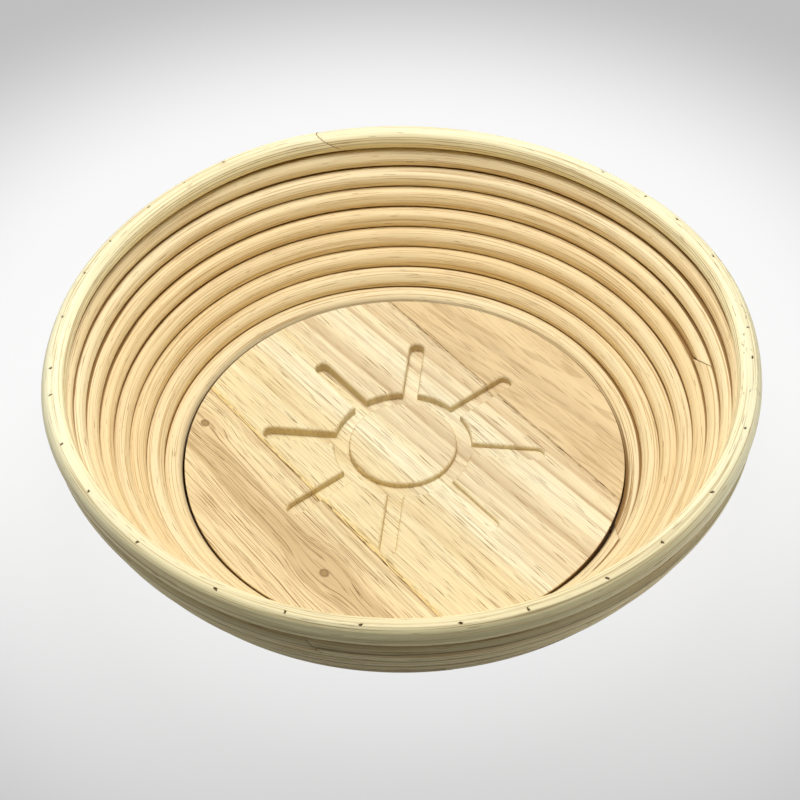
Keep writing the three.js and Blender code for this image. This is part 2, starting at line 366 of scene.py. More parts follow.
def skin_point(hoop, turn, along):
    """A point of the skin in the hoop's section: how far from the basket's axis, and how high."""
    skin, flats, wander_up, wander_out, roll = station(hoop["name"], round(along, MICRON_DIGITS))
    for facing, flat_skin in flats:
        skin = planed(skin, turn, facing, flat_skin)
    pressed = touch(hoop, turn) ** PRESS_POWER
    skin += pressed * (hoop["cane"] + PRESS - skin)
    up = skin * math.cos(turn) + wander_up
    out = skin * math.sin(turn) + wander_out
    slope = hoop["slope"]
    reach = up * math.cos(slope) + out * math.sin(slope)
    rise = up * math.sin(slope) - out * math.cos(slope)
    pitch = 2 * hoop["cane"] + PRESS
    reach += pitch * (math.cos(slope) - math.cos(slope + roll))
    rise += pitch * (math.sin(slope) - math.sin(slope + roll))
    return hoop["radius"] + reach, hoop["height"] + rise


print("flats:", FLATS, "along a cane, about", round(FLAT_DEPTH / MM, 2), "mm deep")

# %% [markdown]
# ## From section to hoop
# A ring with a cut in it is a job for the spin operator. The section is a circle of vertices, slanted so that it
# already lies in the scarf's cut, and spin sweeps it round the basket's axis to just short of a full turn, in
# long steps that are then cut in four. The alternative, a curve with a round bevel, would give an even tube with
# no say over single points. After the spin each point is set to its own skin distance, and the lowest hoop is
# kept clear of the board. A custom layer keeps straight coordinates, the way along the cane and the place in its
# section, so that fibres can follow the bend in the material.

# %% Bend one cane
import bmesh

JOINT_GAP = 0.22 * MM
END_ROUND = 0.18 * MM
BEND_CUTS = 3
SAME_TURN = 1e-6
OPEN_JOINTS = ("wall_hoop_1", "wall_hoop_6", "rim_hoop")
COURSE_SPACING = 10.0
BOARD_CLEAR = 0.06 * MM
BOARD_CLEAR_RISE = (board_top, board_top + 1.5 * MM)


def sweep_cane(hoop, sides, steps):
    """The slanted section of a cane, spun from its one end round to the other."""
    bm = bmesh.new()
    turn_layer = bm.verts.layers.float.new("turn")
    first = hoop["scarf"] + JOINT_GAP / 2 / hoop["radius"]
    sweep = TURN - JOINT_GAP / hoop["radius"]
    for vert in bmesh.ops.create_circle(bm, radius=1.0, segments=sides)["verts"]:
        turn = math.atan2(vert.co.y, vert.co.x)
        vert[turn_layer] = turn
        azimuth = first + hoop["run"] * math.cos(turn) / 2 / hoop["radius"]
        vert.co = (math.cos(azimuth), math.sin(azimuth), 0)
    bmesh.ops.spin(bm, geom=bm.verts[:] + bm.edges[:], axis=(0, 0, 1), angle=sweep, steps=steps)
    lengthwise = []
    for edge in bm.edges:
        start, end = edge.verts
        if abs(start[turn_layer] - end[turn_layer]) < SAME_TURN:
            lengthwise.append(edge)
    bmesh.ops.subdivide_edges(bm, edges=lengthwise, cuts=BEND_CUTS, use_grid_fill=True)
    return bm


def set_skin(bm, hoop):
    """Moves each point to its place on the skin, and notes its dirt with painted shade, and its straight
    coordinates.
    """
    turn_layer = bm.verts.layers.float["turn"]
    line_layer = bm.verts.layers.float_vector.new("cane_line")
    shade_and_dirt_layer = bm.verts.layers.float.new("shade_and_dirt")
    for vert in bm.verts:
        turn = vert[turn_layer]
        azimuth = math.atan2(vert.co.y, vert.co.x)
        lean = hoop["run"] * math.cos(turn) / 2
        along = ((azimuth - hoop["scarf"] - lean / hoop["radius"]) % TURN) * hoop["radius"]
        reach, rise = skin_point(hoop, turn, along)
        reach += out_of_round(hoop, azimuth)
        vert.co = (reach * math.cos(azimuth), reach * math.sin(azimuth) + hoop["shift"], rise)
        inside = board_radius + BOARD_CLEAR - (vert.co - board_centre).xy.length
        if inside > 0:
            inside *= 1 - smooth_step(rise, *BOARD_CLEAR_RISE)
            vert.co += inside * Vector((math.cos(azimuth), math.sin(azimuth), 0))
        # painted shade and dirt, noted for each point
        vert[shade_and_dirt_layer] = painted_shade_and_dirt(hoop, turn, along, azimuth, reach, rise)
        lane = along + COURSE_SPACING * hoop["course"]
        vert[line_layer] = (lane, hoop["cane"] * math.cos(turn), hoop["cane"] * math.sin(turn))


print("joints:", round(JOINT_GAP / MM, 2), "mm wide")

# %% [markdown]
# ## Cut ends
# The spin leaves both ends open. Each is filled and its edge rounded a little, as a fine saw leaves it. Dirt has
# filled the three joints that stand open, so the flat of their cuts is dark.

# %% Close and round the ends
def soften(bm, edges, offset, segments):
    """Rounds edges, and returns the new faces."""
    return bmesh.ops.bevel(
        bm, geom=edges, offset=offset, segments=segments, profile=0.5, affect="EDGES", material=-1
    )["faces"]


def round_ends(bm, hoop):
    shade_and_dirt_layer = bm.verts.layers.float["shade_and_dirt"]
    ends = [edge for edge in bm.edges if edge.is_boundary]
    bmesh.ops.edgeloop_fill(bm, edges=ends)
    bmesh.ops.recalc_face_normals(bm, faces=bm.faces[:])
    strip = set(soften(bm, ends, END_ROUND, 2))
    if hoop["name"] in OPEN_JOINTS:
        for vert in {vert for face in strip for vert in face.verts}:
            if all(face in strip or len(face.verts) > 4 for face in vert.link_faces):
                vert[shade_and_dirt_layer] = 1.0


def bend_cane(hoop, sides, steps):
    bm = sweep_cane(hoop, sides, steps)
    set_skin(bm, hoop)
    round_ends(bm, hoop)
    return bm


print("open joints:", *OPEN_JOINTS)

# %% [markdown]
# ## Making an object of a mesh
# Every piece ends the same way: the mesh goes into an object at the origin, edges that turn sharply are marked,
# the piece takes its material, rides on the basket's one body and stands for its solid.

# %% Finish a piece
SHARP = math.radians(32)


def as_object(bm, name):
    mesh = bpy.data.meshes.new(name)
    bm.to_mesh(mesh)
    bm.free()
    return bpy.data.objects.new(name, mesh)


def finish_piece(bm, name, material, solid, sharp=SHARP):
    for face in bm.faces:
        face.smooth = True
    for edge in bm.edges:
        edge.smooth = len(edge.link_faces) == 2 and edge.calc_face_angle() < sharp
    piece = as_object(bm, name)
    piece.data.materials.append(material)
    scene.collection.objects.link(piece)
    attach(piece, "root")
    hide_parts(solid)
    print(piece.name, len(piece.data.polygons), "faces")


print("edges over", round(math.degrees(SHARP)), "degrees stay sharp")

# %% [markdown]
# ## Words for the shader trees
# A material is a tree of nodes. A few short helpers keep the trees readable: one adds a node and wires its
# inputs, some do sums, one turns a value into a mask, and one lays coats of colour over one another. Colours are
# written as they read on a display, from 0 to 255, and turned into the linear light that the renderer works in.

# %% Helpers for materials
def display(red, green, blue):
    shares = [level / 255 for level in (red, green, blue)]
    linear = [s / 12.92 if s <= 0.04045 else ((s + 0.055) / 1.055) ** 2.4 for s in shares]
    return (*linear, 1.0)


def add(tree, kind, inputs=None, **settings):
    node = tree.nodes.new(kind)
    for key, value in settings.items():
        setattr(node, key, value)
    for key, value in (inputs or {}).items():
        if isinstance(value, bpy.types.NodeSocket):
            tree.links.new(value, node.inputs[key])
        else:
            node.inputs[key].default_value = value
    return node


def attribute(tree, name, output="Fac"):
    return add(tree, "ShaderNodeAttribute", attribute_name=name).outputs[output]


def maths(tree, operation, first, second=0.0):
    return add(tree, "ShaderNodeMath", {0: first, 1: second}, operation=operation).outputs[0]


def plus(tree, first, second):
    return maths(tree, "ADD", first, second)


def minus(tree, first, second):
    return maths(tree, "SUBTRACT", first, second)


def times(tree, first, *others):
    for other in others:
        first = maths(tree, "MULTIPLY", first, other)
    return first


def distance(tree, first, second):
    return maths(tree, "ABSOLUTE", minus(tree, first, second))


def vectors(tree, operation, first, second=(0, 0, 0)):
    return add(tree, "ShaderNodeVectorMath", {0: first, 1: second}, operation=operation).outputs


def split(tree, vector):
    return add(tree, "ShaderNodeSeparateXYZ", {0: vector}).outputs


def mask(tree, value, low, high):
    steps = {"Value": value, "From Min": low, "From Max": high}
    return add(tree, "ShaderNodeMapRange", steps, interpolation_type="SMOOTHSTEP").outputs[0]


def blend(tree, factor, first, second):
    return add(tree, "ShaderNodeMix", {0: factor, 6: first, 7: second}, data_type="RGBA").outputs[2]


def coated(tree, tone, coats):
    """A tone under coats of others, each with its cover, its strength and its own tone."""
    colour = display(*tone)
    for cover, strength, coat in coats:
        colour = blend(tree, times(tree, cover, strength), colour, display(*coat))
    return colour


print("helpers for sums and colours ready")

# %% [markdown]
# ## Noise, groups and new materials
# Fibres, pores and bands are all noise that is stretched along the grain. An effect that several materials use is
# a node group with named inputs and outputs. Cane and wood also share a dull shine and raised fibres.

# %% Helpers for grain
FLOAT, VECTOR = "NodeSocketFloat", "NodeSocketVector"
DULL = 0.3


def stretched_noise(tree, vector, stretch, detail=3.0, rough=0.55):
    scaled = vectors(tree, "MULTIPLY", vector, stretch)[0]
    grain = {"Vector": scaled, "Scale": 1.0, "Detail": detail, "Roughness": rough}
    return add(tree, "ShaderNodeTexNoise", grain).outputs[0]


def new_group(name, inputs):
    tree = bpy.data.node_groups.new(name, "ShaderNodeTree")
    for label, kind in inputs.items():
        tree.interface.new_socket(label, in_out="INPUT", socket_type=kind)
    return tree, tree.nodes.new("NodeGroupInput").outputs


def put_out(tree, results):
    for label in results:
        tree.interface.new_socket(label, in_out="OUTPUT", socket_type=FLOAT)
    outlet = tree.nodes.new("NodeGroupOutput")
    for label, value in results.items():
        tree.links.new(value, outlet.inputs[label])
    print("group:", tree.name, "gives", ", ".join(results))
    return tree


def new_material(name):
    material = bpy.data.materials.new(name)
    material.use_nodes = True
    tree = material.node_tree
    return material, tree, tree.nodes["Principled BSDF"]


def raise_fibres(tree, shader, height, depth, strength):
    bump = add(tree, "ShaderNodeBump", {"Height": height, "Distance": depth, "Strength": strength})
    tree.links.new(bump.outputs[0], shader.inputs["Normal"])
    shader.inputs["Specular IOR Level"].default_value = DULL


print("helpers for grain ready")

# %% [markdown]
# ## Fibres of cane
# Peeled cane is a bundle of straight fibres. Close to, it shows three sizes of them: broad streaks a few
# centimetres long, fine lines, and short dark dashes where a vessel was cut open. All three are noise, stretched
# along the cane by its straight coordinates. The group is built once, and both the wall and the rim use it.

# %% Group for cane fibres
STREAKS, FIBRES, GLINTS = (6, 800, 800), (15, 2000, 2000), (11, 1700, 1700)
DASHES, PATCHES = (110, 2300, 2300), (14, 90, 90)
GLINT_LANE = (3.1, 1.7, 2.3)
CANE_ROUGH = 0.6


def cane_fibre_group():
    tree, given = new_group("cane_fibre", {"Line": VECTOR})
    line = given["Line"]
    lane = vectors(tree, "ADD", line, GLINT_LANE)[0]
    return put_out(tree, {
        "Streak": stretched_noise(tree, line, STREAKS, 3, CANE_ROUGH),
        "Fibre": stretched_noise(tree, line, FIBRES, 3, CANE_ROUGH),
        "Glint": stretched_noise(tree, lane, GLINTS, 3, CANE_ROUGH),
        "Vessel": mask(tree, stretched_noise(tree, line, DASHES, 1), 0.68, 0.74),
        "Patch": stretched_noise(tree, line, PATCHES),
    })


cane_fibre = cane_fibre_group()

# %% [markdown]
# ## Ridges and scuffs
# Fine dark lines run along the canes at given places of the section, with a little wave. They are painted shade:
# they stand for the crisp change of shading where two planed facets meet, which the mesh is too coarse to show.
# On the rim's right side, knocks have torn the skin in a few specks.

# %% Lines and specks on a cane
# painted shade: dark lines drawn along the facet edges
RIDGE_WAVE = 0.25
RIDGE_WAVES = (30, 0, 0)
RIDGE_WIDTH = 0.13
RIDGE_WIDTHS = (60, 0, 0)
RIDGE_CORE = 0.3
TORN_SPECKS = (420, 1500, 1500)
RIM_TOP = (0.3 * RIM_CANE, 0.7 * RIM_CANE)
SCUFF_CORE = 0.6


def ridge_shade_mask(tree, line, ridge):
    parts = split(tree, line)
    turn = maths(tree, "ARCTAN2", parts["Z"], parts["Y"])
    wave = minus(tree, stretched_noise(tree, line, RIDGE_WAVES, 2), 0.5 + ridge / RIDGE_WAVE)
    away = maths(tree, "ABSOLUTE", plus(tree, turn, times(tree, wave, RIDGE_WAVE)))
    width = times(tree, stretched_noise(tree, line, RIDGE_WIDTHS, 2), RIDGE_WIDTH)
    return mask(tree, away, width, times(tree, width, RIDGE_CORE))


def scuff_mask(tree, line, azimuth, reach):
    hoop = hoops["rim_hoop"]
    along = (math.radians(azimuth) - hoop["scarf"]) % TURN * hoop["radius"]
    parts = split(tree, line)
    away = distance(tree, parts["X"], along + COURSE_SPACING * hoop["course"])
    torn = mask(tree, stretched_noise(tree, line, TORN_SPECKS, 2, 0.7), 0.6, 0.66)
    here = mask(tree, away, reach, SCUFF_CORE * reach)
    return times(tree, torn, mask(tree, parts["Y"], *RIM_TOP), here)


print("ridges: at most", RIDGE_WIDTH, "radians wide")

# %% [markdown]
# ## The finish of the cane
# Bare cane is matt, with only a dull shine along the fibres. The wall is straw yellow, warmer at half height,
# and the rim is paler. The outside, which no dough rubs, has weathered to a greyer tone with fine cracks. Brown
# dust sits round the nails, and the brown in the grooves between the courses is dust and painted shade together.
# The rim and the wall differ only in their values, so one function makes both.

# %% Cane materials
# the ridge colours below are painted shade along the facet edges
CANE_FINISHES = {
    "wall_cane": {"pale": (245, 229, 187), "warm": (237, 210, 157), "streak": (202, 168, 114),
                  "weather": 0.65, "weather by tint and shade": 0.0,
                  "ridge": (122, 102, 66), "ridges": (52, 82, 112), "scuffs": ()},
    "rim_cane": {"pale": (252, 244, 203), "warm": (240, 225, 177), "streak": (206, 182, 130),
                 "weather": 0.0, "weather by tint and shade": 0.7,
                 "ridge": (160, 130, 80), "ridges": (-60, -72, -95),
                 "scuffs": ((-4, 9 * MM), (4, 6 * MM), (-14, 4 * MM))},
}
OUTSIDE = (0.1 * CANE, 0.6 * CANE)
WEATHERED, CRACK, VESSEL = (223, 213, 164), (122, 96, 56), (150, 112, 64)
SCUFF, DUST_AND_SHADE, STAIN = (150, 126, 80), (148, 108, 54), (100, 70, 34)
CANE_RELIEF = 0.15 * MM


def cane_coats(tree, line, parts, finish):
    # the tint value is random warmth, and on the rim also painted shade at the front
    tint_and_shade, deep, stain = [attribute(tree, name) for name in ("tint_and_shade", "shade_and_dirt", "stain")]
    exposed = plus(tree, times(tree, tint_and_shade, finish["weather by tint and shade"]), finish["weather"])
    weather = times(tree, mask(tree, split(tree, line)["Z"], *OUTSIDE), exposed)
    dusty_and_shaded = plus(tree, parts["Fibre"], times(tree, deep, 0.8))
    ridges = [ridge_shade_mask(tree, line, math.radians(ridge)) for ridge in finish["ridges"]]
    return [
        (tint_and_shade, 1.0, finish["warm"]),
        (mask(tree, parts["Patch"], 0.4, 0.75), 0.6, finish["warm"]),
        (weather, 1.0, WEATHERED),
        (mask(tree, parts["Streak"], 0.54, 0.7), 0.4, finish["streak"]),
        (mask(tree, parts["Glint"], 0.52, 0.66), 0.4, finish["pale"]),
        (mask(tree, parts["Fibre"], 0.54, 0.61), 0.85, finish["streak"]),
        (parts["Vessel"], 0.6, VESSEL),
        (mask(tree, parts["Streak"], 0.56, 0.62), weather, CRACK),
        # painted shade: the ridge lines
        *[(ridge, 0.6, finish["ridge"]) for ridge in ridges],
        *[(scuff_mask(tree, line, *scuff), 0.7, SCUFF) for scuff in finish["scuffs"]],
        # dust and painted shade: the dark brown coat from the value noted on the mesh
        (mask(tree, dusty_and_shaded, 0.72, 1.1), 0.92, DUST_AND_SHADE),
        (stain, 1.0, STAIN),
    ]


def cane_material(name):
    material, tree, shader = new_material(name)
    finish = CANE_FINISHES[name]
    line = attribute(tree, "cane_line", "Vector")
    parts = add(tree, "ShaderNodeGroup", {"Line": line}, node_tree=cane_fibre).outputs
    colour = coated(tree, finish["pale"], cane_coats(tree, line, parts, finish))
    tree.links.new(colour, shader.inputs["Base Color"])
    rough = plus(tree, times(tree, parts["Fibre"], 0.3), 0.42)
    tree.links.new(rough, shader.inputs["Roughness"])
    height = minus(tree, plus(tree, parts["Fibre"], parts["Streak"]), parts["Vessel"])
    raise_fibres(tree, shader, height, CANE_RELIEF, 0.6)
    return material


wall_cane, rim_cane = [cane_material(name) for name in CANE_FINISHES]
print("materials:", wall_cane.name, rim_cane.name)

# %% [markdown]
# ## Nails
# Wire nails hold the hoops. Those of the rim are driven down through it into the top course, and their heads,
# sunk below the skin, show as small dark pits. The lowest course is nailed into the board's edge. A nail is a
# profile spun round its own axis, and it is steel that has begun to rust. The nails at the scarfs are hidden in
# the wall, so they stay plain and only take the steel.

# %% Spin nails
NAIL_SHANK = 0.6 * MM
NAIL_HEAD = 1.05 * MM
NAIL_HEAD_HEIGHT = 0.6 * MM
NAIL_CROWN = (0.75 * NAIL_HEAD, 0.08 * MM)
NAIL_SHOULDER = 0.25 * MM
NAIL_LENGTH = 14 * MM
NAIL_POINT = 1.8 * MM
NAIL_SUNK = 0.8 * MM
NAIL_SIDES = 20
RIM_NAIL_SLOPE = math.radians(78)
BOARD_NAIL_DIP = math.radians(15)
SEAM = 0.001 * MM
RUST_GRAIN = (1400, 1400, 1400)


def nail_head(node, hoop, slope):
    """The middle of a nail's head where it breaks the skin, and the way the nail was driven."""
    low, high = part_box(node)
    middle = (low + high) / 2
    azimuth = math.atan2(middle.y, middle.x)
    outward = Vector((math.cos(azimuth), math.sin(azimuth), 0))
    reach = hoop["radius"] + out_of_round(hoop, azimuth)
    centre = outward * reach + Vector((0, hoop["shift"], hoop["height"]))
    drive = -(outward * math.cos(slope) + Vector((0, 0, math.sin(slope))))
    return centre - drive * hoop["cane"], drive


def spin_nail(head, drive):
    bm = bmesh.new()
    top = -NAIL_SUNK
    foot = top - NAIL_HEAD_HEIGHT
    profile = (
        (0, top),
        (NAIL_CROWN[0], top - NAIL_CROWN[1]),
        (NAIL_HEAD, top - NAIL_SHOULDER),
        (NAIL_HEAD, foot),
        (NAIL_SHANK, foot),
        (NAIL_SHANK, top - NAIL_LENGTH + NAIL_POINT),
        (0, top - NAIL_LENGTH),
    )
    verts = [bm.verts.new((reach, 0, height)) for reach, height in profile]
    edges = [bm.edges.new(pair) for pair in zip(verts, verts[1:])]
    bmesh.ops.spin(bm, geom=verts + edges, axis=(0, 0, 1), angle=TURN, steps=NAIL_SIDES, use_merge=True)
    bmesh.ops.remove_doubles(bm, verts=bm.verts[:], dist=SEAM)
    bmesh.ops.recalc_face_normals(bm, faces=bm.faces[:])
    upright = (-drive).to_track_quat("Z", "Y").to_matrix().to_4x4()
    bmesh.ops.transform(bm, matrix=Matrix.Translation(head) @ upright, verts=bm.verts[:])
    return bm


def nail_material():
    material, tree, shader = new_material("nail_steel")
    place = add(tree, "ShaderNodeTexCoord").outputs["Object"]
    rust = stretched_noise(tree, place, RUST_GRAIN, 4, 0.7)
    colour = coated(tree, (62, 52, 44), [(mask(tree, rust, 0.4, 0.65), 1.0, (104, 64, 34))])
    tree.links.new(colour, shader.inputs["Base Color"])
    tree.links.new(plus(tree, times(tree, rust, 0.5), 0.25), shader.inputs["Roughness"])
    shader.inputs["Metallic"].default_value = 0.7
    return material


print("nails:", round(NAIL_LENGTH / MM, 1), "mm long")

# %% Nails in their places
nail_steel = nail_material()
nail_nodes = sorted(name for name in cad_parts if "_nail_" in name)
nail_rows = (("rim", "rim_hoop", RIM_NAIL_SLOPE), ("board", "wall_hoop_1", BOARD_NAIL_DIP))
pits = {}
for row, hoop_name, slope in nail_rows:
    nodes = [node for node in nail_nodes if node.startswith(row)]
    pits[hoop_name] = [nail_head(node, hoops[hoop_name], slope) for node in nodes]
    for node, (head, drive) in zip(nodes, pits[hoop_name]):
        finish_piece(spin_nail(head, drive), "shown_" + node, nail_steel, node)
for node in nail_nodes:
    if node.startswith("scarf"):
        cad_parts[node].data.materials.clear()
        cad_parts[node].data.materials.append(nail_steel)
print("nails:", len(nail_nodes), "in all")

# %% [markdown]
# ## Pits over the nails
# A sunk nail tears a slit in the cane. It could be cut with a boolean, but a torn slit has no clean edge. So it
# is pressed in: the faces near the head are subdivided, because the hoop's own mesh is too coarse for a hole of
# two millimetres, and the points there are pushed in by a ragged amount. Dirt stains them.

# %% Press pits
PIT_DEPTH = 0.55 * MM
PIT_LENGTH = 0.75 * MM
PIT_WIDTH = 0.42 * MM
PIT_SWING = 0.5
PIT_PATCH = 3.0 * MM
PIT_CUTS = 3
PIT_TURN = 0.8
PIT_TURN_SWING = 2.2
PIT_RAGGED = 0.8
PIT_RAGGED_PACE = 1.9
PIT_EDGE = (0.45, 1.0)
PIT_STAIN = (0.55, 1.25)
LEVEL = 0.5


def press_pit(bm, head, drive):
    """A torn slit over a nail's head, with its own size and turn."""
    stain_layer = bm.verts.layers.float["stain"]
    patch = [face for face in bm.faces if (face.calc_center_median() - head).length < PIT_PATCH]
    edges = list(dict.fromkeys(edge for face in patch for edge in face.edges))
    bmesh.ops.subdivide_edges(bm, edges=edges, cuts=PIT_CUTS, use_grid_fill=True)
    lane = head / MM
    sideways = drive.cross(Vector((0, 0, 1)) if abs(drive.z) < LEVEL else head).normalized()
    sideways = Matrix.Rotation(PIT_TURN + PIT_TURN_SWING * noise.noise(lane), 3, drive) @ sideways
    length = PIT_LENGTH * (1 + PIT_SWING * noise.noise(2 * lane))
    width = PIT_WIDTH * (1 + PIT_SWING * noise.noise(3 * lane))
    for vert in bm.verts:
        offset = vert.co - head
        if offset.length > PIT_PATCH:
            continue
        long_way = offset.dot(sideways) / length
        short_way = offset.dot(drive.cross(sideways)) / width
        ragged = PIT_RAGGED * noise.noise(vert.co / MM * PIT_RAGGED_PACE)
        aside = math.hypot(long_way, short_way) + ragged
        vert.co += drive * PIT_DEPTH * (1 - smooth_step(aside, *PIT_EDGE))
        vert[stain_layer] = max(vert[stain_layer], 1 - smooth_step(aside, *PIT_STAIN))


print("pits:", round(PIT_DEPTH / MM, 2), "mm deep")

# %% [markdown]
# ## The wall and the rim
# Eight hoops make the wall. Forty eight sides round the section are enough to hold its flats, and a hundred steps
# round the ring, each cut in four, keep it smooth. The middle courses came from a warmer bundle of cane than the
# others. The rim is the thickest cane, and the one that hands and flour scrapers touch, so it is finer in the
# mesh. Its front is painted warmer and darker as painted shade, and on its outside this also greys it.

# %% Bend the hoops
WALL_MESH = (48, 100)
RIM_MESH = (72, 180)
WARMTH = (0.15, 0.45, 0.75, 0.55, 0.8, 0.45, 0.25, 0.25, 0.2)
TINT_SWING = 0.35
TINT_PACE = 11.0
TINT_LANE = 70
# painted shade: the rim's tint rises towards the front, so its colour there is warmer and darker as shade
FRONT_SHADE = 0.9
FRONT_SHADE_SPAN = (0.6, 1.0)


def paint_tint_and_shade(bm, hoop, warmth):
    line_layer = bm.verts.layers.float_vector["cane_line"]
    tint_and_shade_layer = bm.verts.layers.float.new("tint_and_shade")
    front_shade = FRONT_SHADE if hoop["name"] == "rim_hoop" else 0.0
    for vert in bm.verts:
        swing = slow_noise(vert[line_layer].x, TINT_PACE, TINT_LANE, hoop["course"])
        front = smooth_step(-vert.co.y / hoop["radius"], *FRONT_SHADE_SPAN)
        vert[tint_and_shade_layer] = min(max(warmth + TINT_SWING * swing + front_shade * front, 0.0), 1.0)


for name, warmth in zip(hoop_names, WARMTH):
    hoop = hoops[name]
    is_rim = name == "rim_hoop"
    slot, material, mesh_size = ("rim_cane", rim_cane, RIM_MESH) if is_rim else ("wall_cane", wall_cane, WALL_MESH)
    bm = bend_cane(hoop, *mesh_size)
    bm.verts.layers.float.new("stain")
    for head, drive in pits.get(name, ()):
        press_pit(bm, head, drive)
    paint_tint_and_shade(bm, hoop, warmth)
    finish_piece(bm, "cane_" + name, material, name)

# %% [markdown]
# ## The board
# The bottom is a round board glued up from four staves, turned to a disc and then milled. A stave is cut from
# the disc by two planes along the glue lines, which bisect does on the flat outline before it is extruded.

# %% Blank of a stave
BOARD_SIDES = 192
GRAIN_TURN = math.radians(-51.4)
GLUE_LINES = (-38.4 * MM, 4.0 * MM, 46.5 * MM)
GLUE = 0.05 * MM

board_place = Matrix.Translation(board_centre) @ Matrix.Rotation(GRAIN_TURN, 4, "Z")
along_grain = Vector((math.cos(GRAIN_TURN), math.sin(GRAIN_TURN), 0))
stave_edges = [-2 * board_radius, *GLUE_LINES, 2 * board_radius]


def stave_blank(low, high):
    bm = bmesh.new()
    bmesh.ops.create_circle(bm, cap_ends=True, radius=board_radius, segments=BOARD_SIDES)
    for edge, outwards in ((low, -1), (high, 1)):
        everything = bm.verts[:] + bm.edges[:] + bm.faces[:]
        plane = {"plane_co": (0, edge, 0), "plane_no": (0, outwards, 0)}
        bmesh.ops.bisect_plane(bm, geom=everything, clear_outer=True, **plane)
    grown = bmesh.ops.extrude_face_region(bm, geom=bm.faces[:])["geom"]
    raised = [part for part in grown if isinstance(part, bmesh.types.BMVert)]
    bmesh.ops.translate(bm, verts=raised, vec=(0, 0, board_top))
    bmesh.ops.transform(bm, matrix=board_place, verts=bm.verts[:])
    bmesh.ops.recalc_face_normals(bm, faces=bm.faces[:])
    return bm


print(f"board: radius {board_radius / MM:.1f} mm, top at {board_top / MM:.1f} mm")

# %% [markdown]
# ## The sun
# A round cutter milled a ring and eight straight rays, and left the round face between them standing. The board
# wasn't level under it, so the floor of the sun is tilted along the grain and the rays grow shallow to one side.
# The same shapes work as cutting solids. The cutter's side is one profile, straight with a rounded lip: spun, it
# gives the ring, and wrapped round a stretched circle it gives a ray. A boolean takes them out of each stave. The
# rays start inside the ring, so no wall stays between.

# %% Milling cutters
SUN_CENTRE = board_centre + Vector((-0.6, 4.5, 0)) * MM
SUN_TURN = math.radians(-6.4)
SUN_RAYS = 8
SUN_DEPTH = 3.0 * MM
SUN_TILT = math.radians(1.8)
SUN_ROUND = 1.2 * MM
CUTTER = 2.8 * MM
CUTTER_RISE = 3.0 * MM
FACE_RADIUS = 20.4 * MM
RAY_START = FACE_RADIUS + 1.4 * CUTTER
RAY_END = 53.3 * MM - CUTTER
RAY_DROP = 0.01 * MM
ROUND_STEPS = 6
EDGE_CLEAR = 0.02 * MM
RING_STEPS = 96
RAY_SIDES = 64
FLOOR_BAND = 0.5 * MM
HALF_WAY = 0.01
sun_floor = board_top - SUN_DEPTH


def cutter_profile():
    """The cutter's side from its foot up: how far it stands out, and how high above the sun's floor."""
    profile = [(0.0, 0.0)]
    for step in range(ROUND_STEPS + 1):
        turn = math.pi / 2 * step / ROUND_STEPS
        height = SUN_DEPTH + EDGE_CLEAR - SUN_ROUND * (1 - math.sin(turn))
        profile.append((SUN_ROUND * (1 - math.cos(turn)), height))
    return [*profile, (SUN_ROUND, SUN_DEPTH + CUTTER_RISE)]


cutter_side = cutter_profile()


def ring_cutter():
    bm = bmesh.new()
    inner, outer = FACE_RADIUS, FACE_RADIUS + 2 * CUTTER
    corners = [(outer + aside, height) for aside, height in cutter_side]
    corners += [(inner - aside, height) for aside, height in reversed(cutter_side)]
    verts = [bm.verts.new((reach, 0, height)) for reach, height in corners]
    edges = [bm.edges.new(pair) for pair in zip(verts, verts[1:] + verts[:1])]
    bmesh.ops.spin(bm, geom=verts + edges, axis=(0, 0, 1), angle=TURN, steps=RING_STEPS, use_merge=True)
    return bm


def ray_cutter(turn):
    bm = bmesh.new()
    bmesh.ops.create_circle(bm, cap_ends=True, radius=1.0, segments=RAY_SIDES)
    top = bm.faces[:]
    for level in range(1, len(cutter_side)):
        grown = bmesh.ops.extrude_face_region(bm, geom=top)["geom"]
        if level > 1:
            bmesh.ops.delete(bm, geom=top, context="FACES_ONLY")
        top = [part for part in grown if isinstance(part, bmesh.types.BMFace)]
        raised = [part for part in grown if isinstance(part, bmesh.types.BMVert)]
        bmesh.ops.translate(bm, verts=raised, vec=(0, 0, 1))
    for vert in bm.verts:
        aside, height = cutter_side[round(vert.co.z)]
        middle = RAY_END if vert.co.x > HALF_WAY else RAY_START
        vert.co = (middle + vert.co.x * (CUTTER + aside), vert.co.y * (CUTTER + aside), height)
        if height == 0:
            vert.co.z = -RAY_DROP
    bmesh.ops.rotate(bm, verts=bm.verts[:], matrix=Matrix.Rotation(turn, 3, "Z"))
    return bm


def cutter_object(bm, name):
    for vert in bm.verts:
        if vert.co.z < FLOOR_BAND:
            vert.co.z += math.tan(SUN_TILT) * vert.co.dot(along_grain)
    bmesh.ops.translate(bm, verts=bm.verts[:], vec=SUN_CENTRE + Vector((0, 0, sun_floor)))
    bmesh.ops.recalc_face_normals(bm, faces=bm.faces[:])
    return as_object(bm, name)


ray_turns = [SUN_TURN + TURN * ray / SUN_RAYS for ray in range(SUN_RAYS)]
cutters = [cutter_object(ring_cutter(), "ring_cutter")]
cutters += [cutter_object(ray_cutter(turn), "ray_cutter") for turn in ray_turns]
print("cutters:", len(cutters))

# %% [markdown]
# ## Milling
# Each cutter is a boolean modifier on the blank, and the mesh that they leave together is read back. Booleans hand
# back their corners in any order, so these are sorted before the board's two outer edges are rounded.

# %% Mill a stave
EDGE_ROUND = 0.3 * MM
EDGE_ANGLE = math.radians(40)
EDGE_BAND = 0.1 * MM
CREASE = math.radians(7)
CLOSE = 0.004 * MM
FLAT_ANGLE = math.radians(0.5)
ORDER = Vector((1.0, 2.7, 7.4))


